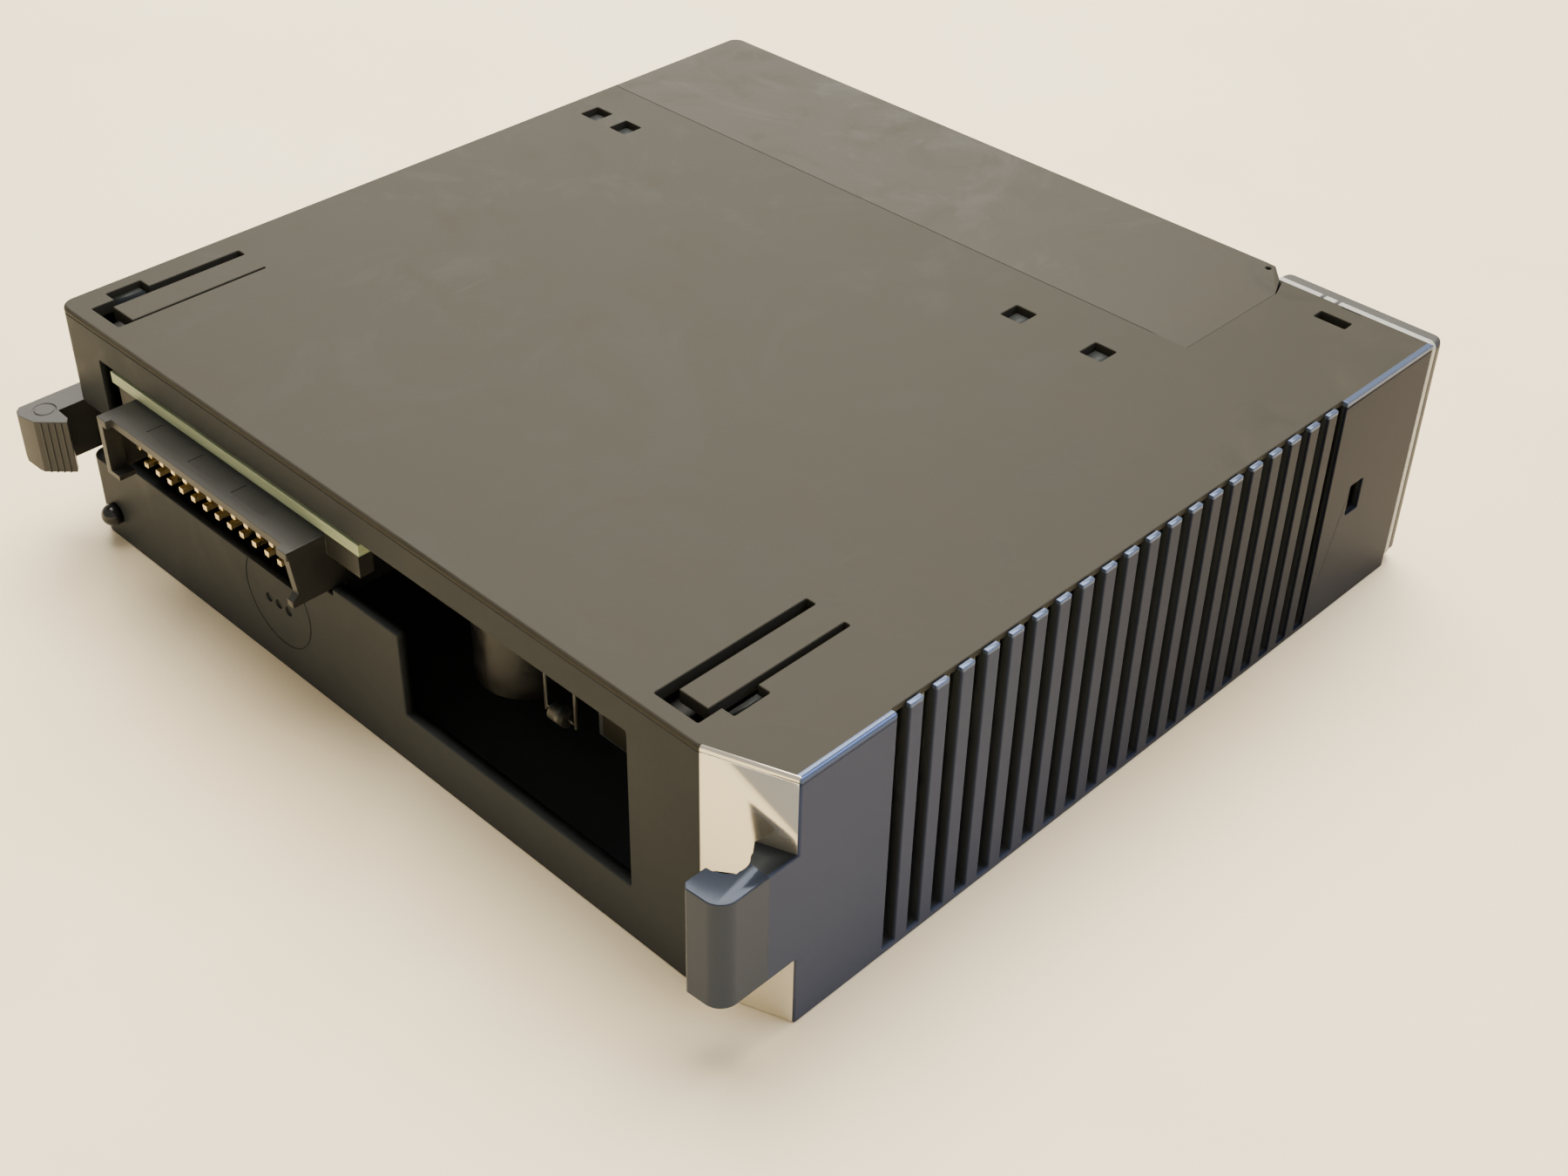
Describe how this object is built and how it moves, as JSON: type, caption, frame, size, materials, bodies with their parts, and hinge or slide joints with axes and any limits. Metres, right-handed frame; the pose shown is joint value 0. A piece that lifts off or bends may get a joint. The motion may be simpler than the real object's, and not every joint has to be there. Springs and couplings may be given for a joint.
{
  "type": "plc module",
  "caption": "Slot-in input/output module for a control rack, with a vented plastic case, a rear pin connector, and removable screw terminals behind a hinged door.",
  "frame": {"origin": "centre of the flat left side face that the module lies on", "axes": "+X towards the vented top end of the module, +Y towards its front with the lamps and the terminals, +Z towards its right side"},
  "size_m": [0.129, 0.126, 0.034],
  "materials": {
    "case": "fine textured dark grey plastic",
    "cover": "fine textured dark grey plastic",
    "moulding": "fine textured charcoal plastic",
    "gloss_dark": "smooth black plastic",
    "clear": "clear moulded plastic",
    "pipe": "translucent plastic",
    "lamp": "tinted lamp bodies",
    "board": "coated fibreglass board",
    "sheet": "black sheet",
    "header": "glass filled plastic",
    "gold": "gold plating",
    "steel": "zinc plated",
    "tin": "tin plating, satin",
    "label": "printed card, left blank",
    "strap": "soft moulded plastic",
    "component_dark": "moulded epoxy",
    "relay": "smooth plastic cases",
    "core": "laminated iron",
    "winding": "taped winding",
    "can": "sleeved cans",
    "film_cap": "dipped coating",
    "ceramic": "fired ceramic",
    "varistor": "dipped coating",
    "fuse_glass": "glass tube",
    "sink": "black anodised"
  },
  "bodies": {
    "case": {"base_shell": "case", "side_cover": "cover", "terminal_bay": "case", "front_bezel": "moulding", "lens": "clear", "light_pipes": "pipe", "status_lamps": "lamp", "lamp_board": "board", "lamp_header": "header", "circuit_board": "board", "board_screws": "steel", "insulating_sheet": "sheet", "backplane_connector": "header", "connector_pins": "gold", "rear_stud": "gloss_dark", "lever_pin": "steel", "terminal_socket": "header", "socket_contacts": "tin", "relays": "relay", "optocouplers": "component_dark", "transformer_core": "core", "transformer_winding": "winding", "electrolytic_caps": "can", "axial_cap": "tin", "film_caps": "film_cap", "ceramic_caps": "ceramic", "processor": "component_dark", "chip_leads": "tin", "driver_chips": "component_dark", "resistors": "component_dark", "varistors": "varistor", "fuse": "fuse_glass", "fuse_clips": "tin", "heat_sink": "sink", "regulator": "component_dark"},
    "lever": {"release_lever": "moulding", "lever_spring": "steel"},
    "block": {"terminal_block": "moulding", "terminal_screws": "tin", "wire_clamps": "steel", "contact_blades": "tin", "pull_tab": "strap", "jack_pin": "steel", "door_pins": "steel"},
    "door": {"terminal_door": "moulding", "door_label": "label"},
    "jack": {"jack_lever": "moulding"}
  },
  "joints": [
    {"name": "lever_pivot", "type": "hinge", "parent": "case", "child": "lever", "pos_m": [-0.0596, -0.048, 0.016], "axis": [0, 0, -1], "range_deg": [0, 12], "stiffness_Nm_per_rad": 0.02},
    {"name": "block_slide", "type": "slide", "parent": "case", "child": "block", "axis": [0, 1, 0], "range_m": [0, 0.025]},
    {"name": "door_hinge", "type": "hinge", "parent": "block", "child": "door", "pos_m": [0, 0.05815, 0.032], "axis": [1, 0, 0], "range_deg": [0, 100]},
    {"name": "jack_pivot", "type": "hinge", "parent": "block", "child": "jack", "pos_m": [0.034, 0.0435, 0.017], "axis": [0, 0, -1], "range_deg": [0, 18]}
  ]
}
